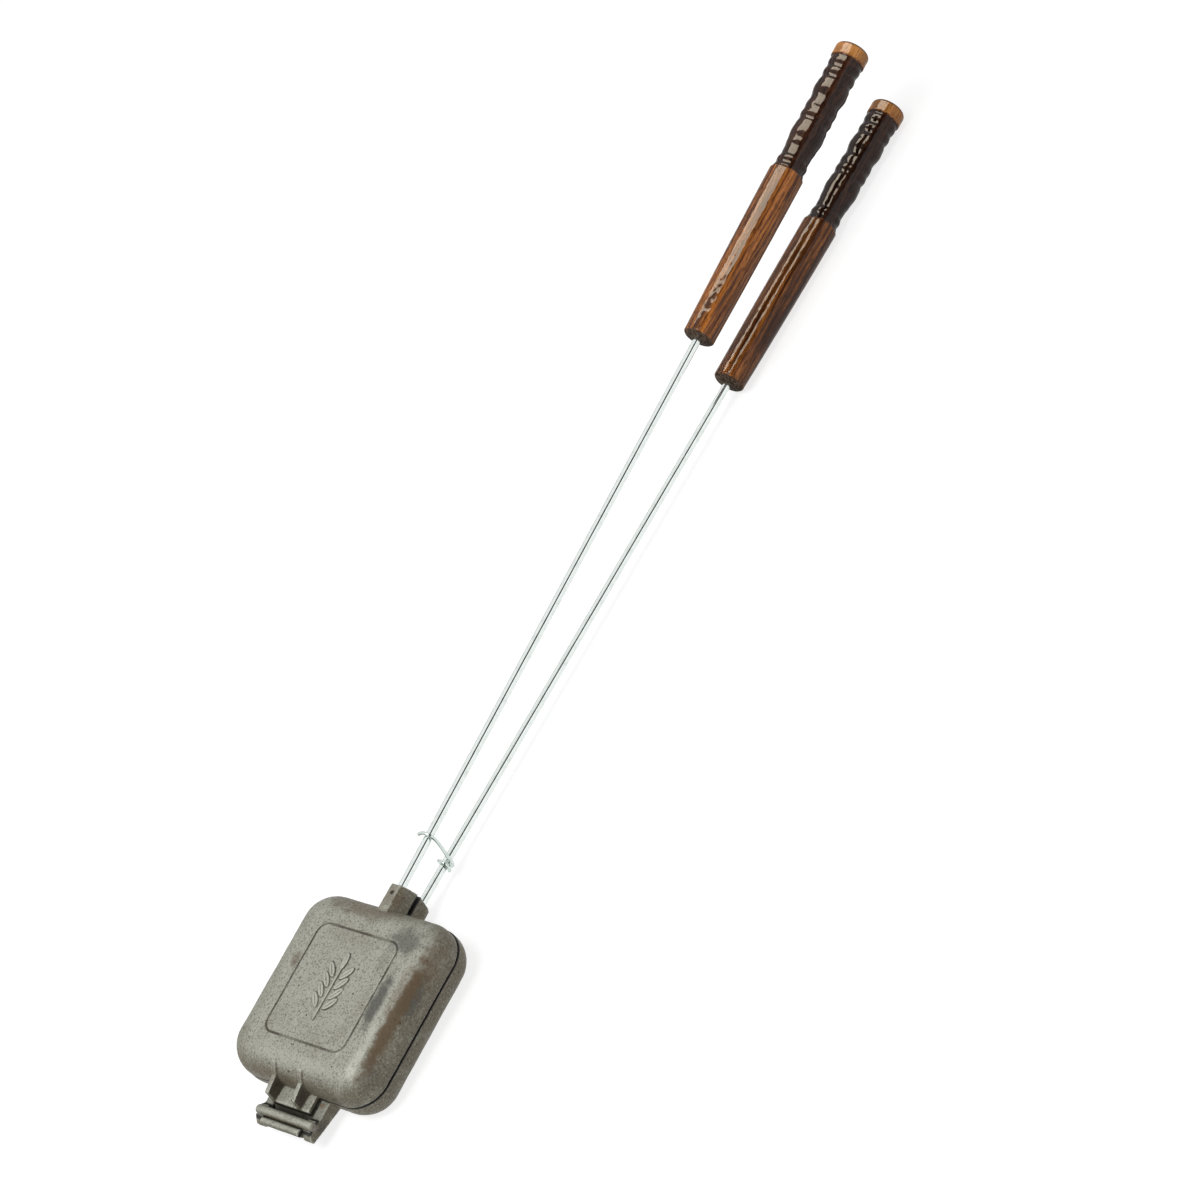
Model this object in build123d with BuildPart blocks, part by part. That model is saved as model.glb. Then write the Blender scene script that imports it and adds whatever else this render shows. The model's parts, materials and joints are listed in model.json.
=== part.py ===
"""A square cast-iron pie iron: two shallow shells that hinge at the front and close
round a filled sandwich, each on a long plated rod with a turned wooden handle.

Frame: millimetres, +Z up, +X towards the handles. The origin is the centre of the
flat panel under the lower shell, which the closed iron is laid down on.
"""

import os
from math import cos, pi, radians, sin, tan

from build123d import *

os.makedirs("parts", exist_ok=True)

# ---------------------------------------------------------------- driving dimensions
# The two shells
head_length = 108.8  # front wall to rear wall
head_width = 105.8
half_height = 19.4  # panel to parting plane
wall = 4.5
plan_corner_radius = 19.0
edge_round = 15.8  # the pillow-like edge between panel and walls
parting_gap = 0.9  # as-cast rims don't quite meet
lower_overhang = 0.7  # the lower shell reaches this much further forward

# The line cast round each panel, and the raised wheat ear inside the upper one
panel_length = 68.0
panel_width = 60.6
panel_corner_radius = 7.0
panel_line_width = 0.9
panel_line_depth = 0.5
ear_height = 0.8
ear_pitch = 6.2  # from one pair of grains to the next
ear_pairs = 4
grain_length = 10.0
grain_width = 3.8
grain_spread = 5.6  # from the stem to the middle of a grain
grain_angle = 38.0
stem_length = 11.0  # below the first pair of grains
stem_width = 1.5

# The hinge: a bar across two arms of the lower shell, in a hook on the upper one
bar_diameter = 5.2
bar_reach = 15.9  # bar axis in front of the upper shell's front wall
bar_lift = 0.7  # bar axis above the parting plane
bar_overhang = 0.2  # bar end past the arm's outer face
arm_thickness = 6.0
arm_gap = 30.0  # between the inner faces of the arms
arm_depth_at_root = 10.8  # below the parting plane
arm_depth_at_tip = 6.2
arm_top_drop = 1.1  # arm top below the parting plane, behind the bar
arm_grip = 0.4  # how far the arm closes over the middle of the bar
arm_land = 0.5  # flat on the arm beside the bar
arm_slope = 1.8  # run of the step behind the bar
arm_tip_reach = 6.8  # arm tip in front of the bar axis
arm_tip_round = 1.3
arm_web_drop = 2.6  # top of the web between the arms' roots, below the parting plane
arm_web_reach = 3.5  # its top edge in front of the lower shell's wall
arm_web_nose_reach = 6.4
arm_web_nose_drop = 7.2
tongue_clearance = 0.6  # each side, between the arms
hook_play = 2.1  # the hook's slot is this much wider each side than the bar
hook_slot_offset = 1.3  # slot centre behind the bar axis
hook_thickness = 3.9
web_top = 3.0  # above the parting plane
rib_thickness = 3.0
rib_height = 10.6  # above the parting plane, at the front
rib_setback = 0.9  # rib's front top corner behind the web's front face
rib_slope = 9.0
rib_front_round = 1.0
ridge_height = 1.1  # each rib runs on up the pillow edge as a low ridge
ridge_end = 122.0  # degrees round the pillow edge, from level at the rear
rib_inset_left = 0.7  # outer rib's face from the tongue's left face
rib_gap = 16.7  # between the two ribs

# The rod sockets at the back of the shells
socket_length = 14.6  # past the rear wall
socket_rake = 2.3  # how much shorter the socket is at its outer face
socket_cheek = 2.9  # metal beside the rod
socket_cover = 2.4  # metal over the rod
socket_bevel_width = 1.9
socket_bevel_depth = 4.2
socket_slot = 2.6  # gap between the two sockets
socket_slot_length = 12.0
rod_offset = 9.9  # rod axis from the parting plane, at the socket's mouth
bore_depth = 14.0
pin_diameter = 2.4
pin_inset = 7.2  # pin axis from the socket's mouth
pin_recess = 0.8
pin_past_rod = 1.2

# Rods and handles
rod_diameter = 4.76
upper_splay = 1.4  # degrees, away from the parting plane
lower_splay = 1.7
upper_rod_free = 359.0  # socket mouth to handle
lower_rod_free = 356.0
rod_in_handle = 60.0
plain_length = 115.0
butt_radius = 9.4
middle_radius = 10.2
shoulder_radius = 10.6
edge_break = 0.8
cap_radius = 10.5
cap_length = 8.8
cap_end_round = 2.2

# Beads and coves turned into the grip: (distance past the shoulder, radius)
grip_turning = [
    (3.8, 9.0),
    (6.6, 9.35),
    (10.0, 8.6),
    (14.5, 8.75),
    (19.5, 9.3),
    (26.5, 10.05),
    (31.5, 9.7),
    (35.0, 9.1),
    (38.8, 9.75),
    (42.0, 9.35),
    (45.4, 9.65),
    (50.2, 9.05),
    (57.6, 10.2),
    (61.5, 9.9),
    (65.4, 9.2),
    (69.2, 9.85),
    (72.8, 9.3),
    (76.6, 9.95),
    (79.6, 9.6),
]

# The wire latch that holds the rods together
latch_wire = 2.0
latch_station = 27.2  # from the socket's mouth, along the lower rod
latch_clearance = 0.5  # wire to rod
latch_swing_clearance = 0.5  # over the upper rod, as the hook swings off
eye_pitch = 3.6
eye_turns = 1.125
hook_lean = 2.0  # hook nearer the handles than the eye
latch_side_reach = 5.0  # wire's middle beside the rods, between them
hook_tip_reach = 4.3

# ---------------------------------------------------------------- shared places
parting = half_height
front = -head_length / 2
lower_front = front - lower_overhang
rear = head_length / 2
rod_radius = rod_diameter / 2
mouth = rear + socket_length

bar_x = front - bar_reach
bar_z = parting + bar_lift
arm_spread = arm_gap + 2 * arm_thickness
tongue_width = arm_gap - 2 * tongue_clearance


def rod_plane(side, splay):
    """The plane square to a rod at its socket's mouth; side is 1 above, -1 below."""
    along = (cos(radians(splay)), 0, side * sin(radians(splay)))
    return Plane(
        origin=(mouth, 0, parting + side * rod_offset), x_dir=(0, 1, 0), z_dir=along
    )


upper_line = rod_plane(1, upper_splay)
lower_line = rod_plane(-1, lower_splay)


# ---------------------------------------------------------------- shared shapes
def pillow_block(side, inset, front_x):
    """The outside of a half shell, or with inset its hollow, on the parting plane."""
    base = Plane(origin=(0, 0, parting + side * parting_gap / 2), z_dir=(0, 0, side))
    length = rear - front_x - 2 * inset
    with BuildPart() as block:
        with BuildSketch(base):
            with Locations(((rear + front_x) / 2, 0)):
                RectangleRounded(length, head_width - 2 * inset, plan_corner_radius - inset)
        extrude(amount=half_height - parting_gap / 2 - inset)
        panel = block.faces().sort_by(Axis.Z)[-1 if side > 0 else 0]
        fillet(panel.edges(), edge_round - inset)
    return block.part


def panel_line(side):
    """The shallow line round a shell's panel, as a solid to cut away."""
    face = Plane(origin=(0, 0, parting + side * half_height), z_dir=(0, 0, side))
    inner_length = panel_length - 2 * panel_line_width
    inner_width = panel_width - 2 * panel_line_width
    with BuildPart() as line:
        with BuildSketch(face):
            RectangleRounded(panel_length, panel_width, panel_corner_radius)
            RectangleRounded(
                inner_length, inner_width, panel_corner_radius - panel_line_width, mode=Mode.SUBTRACT
            )
        extrude(amount=-panel_line_depth)
    return line.part


def socket_block(side):
    """A rod socket: a bevelled block with a raked end, rooted in the rear wall."""
    half = rod_radius + socket_cheek
    top = rod_offset + rod_radius + socket_cover
    root = rear - wall
    low = parting_gap / 2
    slot_start = mouth - socket_slot_length
    with BuildPart() as block:
        with BuildSketch(Plane.YZ.offset(root)):
            with BuildLine():
                Polyline(
                    (-half, parting + side * low),
                    (half, parting + side * low),
                    (half, parting + side * (top - socket_bevel_depth)),
                    (half - socket_bevel_width, parting + side * top),
                    (socket_bevel_width - half, parting + side * top),
                    (-half, parting + side * (top - socket_bevel_depth)),
                    close=True,
                )
            make_face()
        extrude(amount=mouth - root)
        with BuildSketch(Plane.XZ):
            with BuildLine():
                Polyline(
                    (root, parting + side * low),
                    (slot_start, parting + side * low),
                    (slot_start, parting + side * socket_slot / 2),
                    (mouth, parting + side * socket_slot / 2),
                    (mouth - socket_rake, parting + side * top),
                    (root, parting + side * top),
                    close=True,
                )
            make_face()
        extrude(amount=half, both=True, mode=Mode.INTERSECT)
    return block.part


def rod_bore(line):
    """The hole that a rod fills, from the bottom of its socket out past the mouth."""
    with BuildPart() as bore:
        with BuildSketch(line.offset(-bore_depth)):
            Circle(rod_radius)
        extrude(amount=bore_depth + socket_rake)
    return bore.part


def pin_rod(side, outer_end):
    """The drive pin's cylinder, through a socket and its rod; outer_end is its far height."""
    inner_end = rod_offset - rod_radius - pin_past_rod
    base = Plane(
        origin=(mouth - pin_inset, 0, parting + side * inner_end), z_dir=(0, 0, side)
    )
    with BuildPart() as pin:
        with BuildSketch(base):
            Circle(pin_diameter / 2)
        extrude(amount=outer_end - inner_end)
    return pin.part


socket_top = rod_offset + rod_radius + socket_cover
pin_shape = {side: pin_rod(side, socket_top - pin_recess) for side in (1, -1)}
pin_hole = {side: pin_rod(side, socket_top + pin_recess) for side in (1, -1)}
bore_shape = {1: rod_bore(upper_line), -1: rod_bore(lower_line)}
outside = {1: pillow_block(1, 0, front), -1: pillow_block(-1, 0, lower_front)}
hollow = {1: pillow_block(1, wall, front), -1: pillow_block(-1, wall, lower_front)}
socket_shape = {side: socket_block(side) for side in (1, -1)}
line_shape = {side: panel_line(side) for side in (1, -1)}

# ---------------------------------------------------------------- hinge bar
with BuildPart() as hinge_bar:
    with BuildSketch(Plane.XZ.offset(-arm_spread / 2 - bar_overhang)):
        with Locations((bar_x, bar_z)):
            Circle(bar_diameter / 2)
    extrude(amount=arm_spread + 2 * bar_overhang)

hinge_bar.part.label = "hinge_bar"
export_step(hinge_bar.part, "parts/hinge_bar.step")

# ---------------------------------------------------------------- lower shell
# Two arms reach forward from the lower shell and hold the bar in open seats.
arm_root = lower_front + wall / 2
arm_tip = bar_x - arm_tip_reach
seat_half = bar_diameter / 2 + arm_land
arm_y = (arm_gap + arm_thickness) / 2
web_nose = lower_front - arm_web_nose_reach


def arm_under(x):
    """The height of the arms' lower edge at x."""
    share = (arm_root - x) / (arm_root - arm_tip)
    return parting - arm_depth_at_root + share * (arm_depth_at_root - arm_depth_at_tip)


with BuildPart() as lower_shell:
    add(outside[-1])
    for y in (-arm_y, arm_y):
        with BuildSketch(Plane.XZ.offset(-y - arm_thickness / 2)) as arm_side:
            with BuildLine():
                Polyline(
                    (arm_root, parting - arm_top_drop),
                    (bar_x + seat_half + arm_slope, parting - arm_top_drop),
                    (bar_x + seat_half, bar_z + arm_grip),
                    (bar_x - seat_half, bar_z + arm_grip),
                    (arm_tip, parting - arm_depth_at_tip / 2),
                    (arm_tip, parting - arm_depth_at_tip),
                    (arm_root, parting - arm_depth_at_root),
                    close=True,
                )
            make_face()
            fillet(arm_side.vertices().group_by(Axis.X)[0], arm_tip_round)
        extrude(amount=arm_thickness)
    with BuildSketch(Plane.XZ.offset(-arm_gap / 2)):
        with BuildLine():
            Polyline(
                (arm_root, parting - arm_web_drop),
                (lower_front - arm_web_reach, parting - arm_web_drop),
                (web_nose, parting - arm_web_nose_drop),
                (web_nose, arm_under(web_nose)),
                (arm_root, arm_under(arm_root)),
                close=True,
            )
        make_face()
    extrude(amount=arm_gap)
    add(socket_shape[-1])
    add(hollow[-1], mode=Mode.SUBTRACT)
    add(hinge_bar.part, mode=Mode.SUBTRACT)
    add(bore_shape[-1], mode=Mode.SUBTRACT)
    add(pin_hole[-1], mode=Mode.SUBTRACT)
    add(line_shape[-1], mode=Mode.SUBTRACT)

lower_shell.part.label = "lower_shell"
export_step(lower_shell.part, "parts/lower_shell.step")

# ---------------------------------------------------------------- upper shell
# A tongue reaches forward from the upper shell and turns down, under the bar and up
# in front of it. Two ribs stiffen it.
hook_slot_radius = bar_diameter / 2 + hook_play
slot_x = bar_x + hook_slot_offset
slot_back = slot_x + hook_slot_radius
hook_outer = hook_slot_radius + hook_thickness
lip_x = slot_x - hook_slot_radius - hook_thickness / 2
web_root = front + wall / 2
tongue_side = tongue_width / 2
rib_back = front + wall
rib_front = slot_back + rib_setback
rib_top_back = rib_height + (rib_back - rib_front) * tan(radians(rib_slope))
left_rib = tongue_side - rib_inset_left - rib_thickness / 2
rib_places = (left_rib, left_rib - rib_thickness - rib_gap)
pillow_centre = (front + edge_round, parting + half_height - edge_round)
ridge_span = 165.0 - ridge_end
ear_length = stem_length + ear_pairs * ear_pitch + grain_length / 2
first_pair = stem_length - ear_length / 2
top_grain = first_pair + ear_pairs * ear_pitch
stem_span = top_grain + ear_length / 2

with BuildPart() as upper_shell:
    add(outside[1])
    with BuildSketch(Plane.XZ.offset(-tongue_side)):
        with BuildLine():
            Polyline(
                (slot_back + hook_thickness, bar_z),
                (slot_back + hook_thickness, parting + parting_gap / 2),
                (web_root, parting + parting_gap / 2),
                (web_root, parting + web_top),
                (slot_back, parting + web_top),
                (slot_back, bar_z),
            )
            ThreePointArc(
                (slot_back, bar_z),
                (slot_x, bar_z - hook_slot_radius),
                (slot_x - hook_slot_radius, bar_z),
            )
            ThreePointArc(
                (slot_x - hook_slot_radius, bar_z),
                (lip_x, bar_z + hook_thickness / 2),
                (slot_x - hook_outer, bar_z),
            )
            ThreePointArc(
                (slot_x - hook_outer, bar_z),
                (slot_x, bar_z - hook_outer),
                (slot_back + hook_thickness, bar_z),
            )
        make_face()
    extrude(amount=tongue_width)
    for y in rib_places:
        with BuildSketch(Plane.XZ.offset(-y - rib_thickness / 2)) as rib_side:
            with BuildLine():
                Polyline(
                    (slot_back, parting + web_top / 2),
                    (slot_back, parting + web_top),
                    (rib_front, parting + rib_height),
                    (rib_back, parting + rib_top_back),
                    (rib_back, parting + web_top / 2),
                    close=True,
                )
            make_face()
            fillet(rib_side.vertices().sort_by(Axis.Z)[-2], rib_front_round)
        extrude(amount=rib_thickness)
        with BuildSketch(Plane.XZ.offset(-y - rib_thickness / 2)):
            with BuildLine():
                crest = CenterArc(pillow_centre, edge_round + ridge_height, ridge_end, ridge_span)
                foot = CenterArc(pillow_centre, edge_round - wall / 2, ridge_end, ridge_span)
                Line(crest @ 0, foot @ 0)
                Line(crest @ 1, foot @ 1)
            make_face()
        extrude(amount=rib_thickness)
    add(socket_shape[1])
    add(hollow[1], mode=Mode.SUBTRACT)
    add(bore_shape[1], mode=Mode.SUBTRACT)
    add(pin_hole[1], mode=Mode.SUBTRACT)
    add(line_shape[1], mode=Mode.SUBTRACT)
    with BuildSketch(Plane.XY.offset(parting + half_height)):
        with Locations(((top_grain - ear_length / 2) / 2, 0)):
            SlotOverall(stem_span, stem_width)
        for pair in range(ear_pairs):
            for hand in (1, -1):
                with Locations((first_pair + pair * ear_pitch, hand * grain_spread)):
                    Ellipse(grain_length / 2, grain_width / 2, rotation=hand * grain_angle)
        with Locations((top_grain, 0)):
            Ellipse(grain_length / 2, grain_width / 2)
    extrude(amount=ear_height)

upper_shell.part.label = "upper_shell"
export_step(upper_shell.part, "parts/upper_shell.step")

# ---------------------------------------------------------------- drive pins
with BuildPart() as upper_rod_pin:
    add(pin_shape[1])

upper_rod_pin.part.label = "upper_rod_pin"
export_step(upper_rod_pin.part, "parts/upper_rod_pin.step")

with BuildPart() as lower_rod_pin:
    add(pin_shape[-1])

lower_rod_pin.part.label = "lower_rod_pin"
export_step(lower_rod_pin.part, "parts/lower_rod_pin.step")

# ---------------------------------------------------------------- rods
with BuildPart() as upper_rod:
    with BuildSketch(upper_line.offset(-bore_depth)):
        Circle(rod_radius)
    extrude(amount=bore_depth + upper_rod_free + rod_in_handle)
    add(pin_hole[1], mode=Mode.SUBTRACT)

upper_rod.part.label = "upper_rod"
export_step(upper_rod.part, "parts/upper_rod.step")

with BuildPart() as lower_rod:
    with BuildSketch(lower_line.offset(-bore_depth)):
        Circle(rod_radius)
    extrude(amount=bore_depth + lower_rod_free + rod_in_handle)
    add(pin_hole[-1], mode=Mode.SUBTRACT)

lower_rod.part.label = "lower_rod"
export_step(lower_rod.part, "parts/lower_rod.step")

# ---------------------------------------------------------------- handles
cap_start = plain_length + grip_turning[-1][0] + edge_break
handle_end = cap_start + cap_length


def turned_handle(start):
    """A handle turned about the rod's line, from its rod end at the plane start."""
    axis = Axis(start.origin, start.z_dir)
    turning = Plane(origin=start.origin, x_dir=start.z_dir, z_dir=(0, 1, 0))
    shoulder = (plain_length, shoulder_radius - edge_break)
    grip = [(plain_length + along, radius) for along, radius in grip_turning]
    with BuildPart() as handle:
        with BuildSketch(turning):
            with BuildLine():
                Polyline((0, 0), (0, butt_radius - edge_break), (edge_break, butt_radius))
                ThreePointArc(
                    (edge_break, butt_radius),
                    (plain_length / 2, middle_radius),
                    (plain_length - edge_break, shoulder_radius),
                )
                Line((plain_length - edge_break, shoulder_radius), shoulder)
                Spline(shoulder, *grip)
                Polyline(
                    grip[-1],
                    (cap_start, cap_radius),
                    (handle_end - cap_end_round, cap_radius),
                )
                RadiusArc(
                    (handle_end - cap_end_round, cap_radius),
                    (handle_end, cap_radius - cap_end_round),
                    cap_end_round,
                )
                Polyline((handle_end, cap_radius - cap_end_round), (handle_end, 0), (0, 0))
            make_face()
        revolve(axis=axis)
        with BuildSketch(start):
            Circle(rod_radius)
        extrude(amount=rod_in_handle, mode=Mode.SUBTRACT)
    return handle.part


upper_turning = turned_handle(upper_line.offset(upper_rod_free))
lower_turning = turned_handle(lower_line.offset(lower_rod_free))

with BuildPart() as upper_handle:
    add(upper_turning)

upper_handle.part.label = "upper_handle"
export_step(upper_handle.part, "parts/upper_handle.step")

with BuildPart() as lower_handle:
    add(lower_turning)

lower_handle.part.label = "lower_handle"
export_step(lower_handle.part, "parts/lower_handle.step")

# ---------------------------------------------------------------- latch
# One wire: an eye of just over a turn round the lower rod, a gentle S up beside the
# rods, and a shallow hook over the upper rod. Places are on the lower rod's own plane:
# across the rods, up from the lower rod, and along it.
eye_radius = rod_radius + latch_clearance + latch_wire / 2
rods_apart = (
    2 * rod_offset
    + latch_station * tan(radians(upper_splay))
    + latch_station * tan(radians(lower_splay))
)
hook_height = rods_apart + rod_radius + latch_wire / 2 + latch_swing_clearance
eye_start_angle = 2 * pi * eye_turns
eye_steps = 9

eye_points = []
for step in range(eye_steps):
    share = step / eye_steps
    turn = pi + eye_start_angle * (1 - share)
    eye_points.append(
        (eye_radius * cos(turn), eye_radius * sin(turn), -eye_pitch * eye_turns * (1 - share))
    )
hook_points = [
    (-eye_radius, 0.0, 0.0),
    (-latch_side_reach + 0.4, 0.3 * rods_apart, 0.2 * hook_lean),
    (-latch_side_reach, 0.6 * rods_apart, 0.5 * hook_lean),
    (-latch_side_reach + 0.1, 0.92 * rods_apart, 0.85 * hook_lean),
    (-eye_radius + 0.6, hook_height - 0.9, hook_lean),
    (-0.8, hook_height + 0.35, hook_lean),
    (hook_tip_reach / 2, hook_height + 0.3, 0.8 * hook_lean),
    (hook_tip_reach, hook_height - 0.2, 0.3 * hook_lean),
]

wire_line = lower_line.offset(latch_station)
wire_frame = Plane(origin=wire_line.origin, x_dir=(0, 1, 0), z_dir=wire_line.z_dir)
up_sign = 1 if wire_frame.y_dir.Z > 0 else -1


def on_latch(across, up, along):
    """A place beside the lower rod, in the iron's own frame."""
    return wire_frame.from_local_coords(Vector(across, up_sign * up, along))


with BuildPart() as latch_hook:
    with BuildLine() as wire:
        Spline(*[on_latch(*place) for place in eye_points + hook_points])
    with BuildSketch(wire.line ^ 0):
        Circle(latch_wire / 2)
    sweep()

latch_hook.part.label = "latch_hook"
export_step(latch_hook.part, "parts/latch_hook.step")

wire_length = wire.edges()[0].length
print("latch wire length", round(wire_length, 2), "volume", round(latch_hook.part.volume, 2))
print("its section times its length", round(wire_length * pi * (latch_wire / 2) ** 2, 2))
print("rods apart at the latch", round(rods_apart, 2))
print("lower rod's axis at the latch", tuple(wire_line.origin), tuple(wire_line.z_dir))
print("bar axis", bar_x, bar_z)
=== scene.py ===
# %% [markdown]
# # The looks of a cast-iron pie iron
# A pie iron is a hinged sandwich press for a camp fire. Its parts already exist at
# their real size, as a fixed frame. This lesson dresses that frame: it softens the
# castings, turns the handles again with finer curves, and gives every piece a finish
# made of shader nodes.

import json
import math

import bmesh
import bpy
import numpy as np
from mathutils import Matrix, Vector, noise as mathutils_noise

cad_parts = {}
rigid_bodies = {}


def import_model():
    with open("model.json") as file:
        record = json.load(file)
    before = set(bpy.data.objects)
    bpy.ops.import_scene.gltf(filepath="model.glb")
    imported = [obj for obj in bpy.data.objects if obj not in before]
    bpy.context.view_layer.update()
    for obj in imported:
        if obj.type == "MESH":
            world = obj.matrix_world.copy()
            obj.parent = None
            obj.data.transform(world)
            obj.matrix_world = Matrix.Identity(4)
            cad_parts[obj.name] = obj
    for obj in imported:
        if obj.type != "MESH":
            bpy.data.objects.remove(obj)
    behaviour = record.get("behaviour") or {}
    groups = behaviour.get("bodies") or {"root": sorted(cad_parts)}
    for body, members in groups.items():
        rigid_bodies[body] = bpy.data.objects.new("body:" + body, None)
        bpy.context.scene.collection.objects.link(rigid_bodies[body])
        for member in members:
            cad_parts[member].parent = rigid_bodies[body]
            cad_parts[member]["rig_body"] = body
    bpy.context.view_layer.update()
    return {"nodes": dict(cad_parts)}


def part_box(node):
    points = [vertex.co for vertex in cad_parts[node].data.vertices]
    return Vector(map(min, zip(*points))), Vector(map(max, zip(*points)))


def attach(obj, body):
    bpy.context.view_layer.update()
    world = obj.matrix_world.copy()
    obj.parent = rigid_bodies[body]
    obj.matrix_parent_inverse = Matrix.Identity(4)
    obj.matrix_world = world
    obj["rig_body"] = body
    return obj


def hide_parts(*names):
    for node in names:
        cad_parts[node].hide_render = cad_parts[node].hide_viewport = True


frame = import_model()
MM = 0.001
print("frame:", sorted(frame["nodes"]))

# %% [markdown]
# ## The camera
# The picture to match was taken with a long lens from the front right, high above the
# head, with the camera rolled so that the handles run up to the right. A camera in
# Blender looks along its own -Z with +Y up, so its rotation is written from three
# directions: what points right in the picture, what points up, and where it looks.

# %% Camera
CAMERA_PLACE = Vector((-0.4395, -1.4331, 1.4917))
PICTURE_RIGHT = Vector((0.4614, -0.7388, -0.4912))
PICTURE_UP = Vector((0.8254, 0.1545, 0.5430))
LOOKS_ALONG = Vector((0.3253, 0.6560, -0.6811))
LENS_MM = 117.4

lens = bpy.data.cameras.new("camera")
lens.lens = LENS_MM
lens.sensor_width = 36.0
lens.clip_end = 50.0
camera = bpy.data.objects.new("camera", lens)
bpy.context.scene.collection.objects.link(camera)
turn = Matrix((PICTURE_RIGHT, PICTURE_UP, -LOOKS_ALONG)).transposed()
camera.matrix_world = Matrix.Translation(CAMERA_PLACE) @ turn.to_4x4()
bpy.context.scene.camera = camera
print("camera is", round((CAMERA_PLACE - Vector((0, 0, 0.02))).length, 3), "m from the head")

# %% [markdown]
# ## Small helpers for shader nodes
# A material is a graph. These helpers add one node each and wire it up in the same
# line, so that a finish below reads like a recipe and not like wiring.


# %% Node helpers
def add_node(tree, kind, inputs=None, **settings):
    """Adds a node; each input takes a value, or a link where it is given a socket."""
    node = tree.nodes.new(kind)
    for name, value in settings.items():
        setattr(node, name, value)
    for name, value in (inputs or {}).items():
        if isinstance(value, bpy.types.NodeSocket):
            tree.links.new(value, node.inputs[name])
        else:
            node.inputs[name].default_value = value
    return node


def maths(tree, operation, a, b=0.0, clamp=False):
    """One sum, product or comparison of two numbers."""
    node = add_node(tree, "ShaderNodeMath", {0: a, 1: b}, operation=operation, use_clamp=clamp)
    return node.outputs[0]


def mix_colours(tree, share, a, b):
    """Blends colour b over colour a."""
    node = add_node(tree, "ShaderNodeMix", {0: share, 6: a, 7: b}, data_type="RGBA")
    return node.outputs[2]


def remap(tree, value, low, high, to_low=0.0, to_high=1.0):
    """Stretches a value's range low..high to to_low..to_high, with soft ends."""
    node = add_node(
        tree,
        "ShaderNodeMapRange",
        {"Value": value, "From Min": low, "From Max": high, "To Min": to_low, "To Max": to_high},
        interpolation_type="SMOOTHSTEP",
    )
    return node.outputs[0]


def noise(tree, where, scale, detail=4.0, roughness=0.5, distortion=0.0):
    """Cloudy noise, as a value from 0 to 1; scale is in features per metre."""
    inputs = {
        "Vector": where,
        "Scale": scale,
        "Detail": detail,
        "Roughness": roughness,
        "Distortion": distortion,
    }
    return add_node(tree, "ShaderNodeTexNoise", inputs).outputs[0]


def stretched(tree, where, factors):
    """The same place with its axes stretched, to draw a texture out along one."""
    node = add_node(tree, "ShaderNodeMapping", {"Vector": where, "Scale": factors})
    return node.outputs[0]


def object_place(tree):
    """Where a point is on its piece, in metres; it moves with the piece."""
    return add_node(tree, "ShaderNodeTexCoord").outputs["Object"]


def rgb(red, green, blue):
    """A colour given as it reads on screen, 0 to 255, turned to the light it stands for."""
    light = []
    for part in (red, green, blue):
        share = part / 255
        light.append(share / 12.92 if share <= 0.04045 else ((share + 0.055) / 1.055) ** 2.4)
    return (*light, 1.0)


print("white reads as", rgb(255, 255, 255))

# %% [markdown]
# ## Shader groups
# Some effects belong to more than one finish. Each is built once as a node group, with
# named inputs, and placed in a material with that material's own values.


# %% Group helper
def new_group(name, inputs, outputs):
    """A shader group with named sockets; inputs are (name, kind, default)."""
    tree = bpy.data.node_groups.new(name, "ShaderNodeTree")
    for label, kind, default in inputs:
        socket = tree.interface.new_socket(label, in_out="INPUT", socket_type=kind)
        if default is not None:
            socket.default_value = default
    for label, kind in outputs:
        tree.interface.new_socket(label, in_out="OUTPUT", socket_type=kind)
    source = tree.nodes.new("NodeGroupInput")
    sink = tree.nodes.new("NodeGroupOutput")
    return tree, source.outputs, sink.inputs


def place_group(tree, group, inputs):
    """Puts a shader group into a material and returns its outputs."""
    return add_node(tree, "ShaderNodeGroup", inputs, node_tree=group).outputs


NUMBER, VECTOR = "NodeSocketFloat", "NodeSocketVector"

# %% [markdown]
# ### Sand-cast skin
# Molten iron takes the print of the sand it is poured into. The skin is a tight grain
# of bumps, with a few pits where a grain of sand stuck or gas was caught. The group
# makes a fine noise for the grain and sparse Voronoi cells for the pits.


# %% Sand-cast skin group
def build_sand_skin():
    tree, given, out = new_group(
        "sand_cast_skin",
        [("Place", VECTOR, None), ("Grain Size", NUMBER, 0.0009), ("Pit Spacing", NUMBER, 0.006)],
        [("Height", NUMBER), ("Grain", NUMBER), ("Pits", NUMBER)],
    )
    per_metre = maths(tree, "DIVIDE", 1.0, given["Grain Size"])
    grain = noise(tree, given["Place"], per_metre, 5.0, 0.62)
    coarse = noise(tree, given["Place"], maths(tree, "MULTIPLY", per_metre, 0.28), 3.0, 0.5)
    cells = add_node(
        tree,
        "ShaderNodeTexVoronoi",
        {"Vector": given["Place"], "Scale": maths(tree, "DIVIDE", 1.0, given["Pit Spacing"])},
    )
    chance = add_node(tree, "ShaderNodeSeparateColor", {0: cells.outputs["Color"]}).outputs[0]
    size = maths(tree, "MULTIPLY", chance, 0.16)
    depth = maths(tree, "SUBTRACT", size, cells.outputs["Distance"])
    pits = remap(tree, depth, 0.0, 0.05)
    fine_bumps = maths(tree, "MULTIPLY", grain, 0.6)
    height = maths(tree, "ADD", fine_bumps, maths(tree, "MULTIPLY", coarse, 0.4))
    pitted = maths(tree, "SUBTRACT", height, maths(tree, "MULTIPLY", pits, 0.9))
    tree.links.new(pitted, out["Height"])
    tree.links.new(grain, out["Grain"])
    tree.links.new(pits, out["Pits"])
    return tree


SAND_SKIN = build_sand_skin()
print("built", SAND_SKIN.name)
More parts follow.
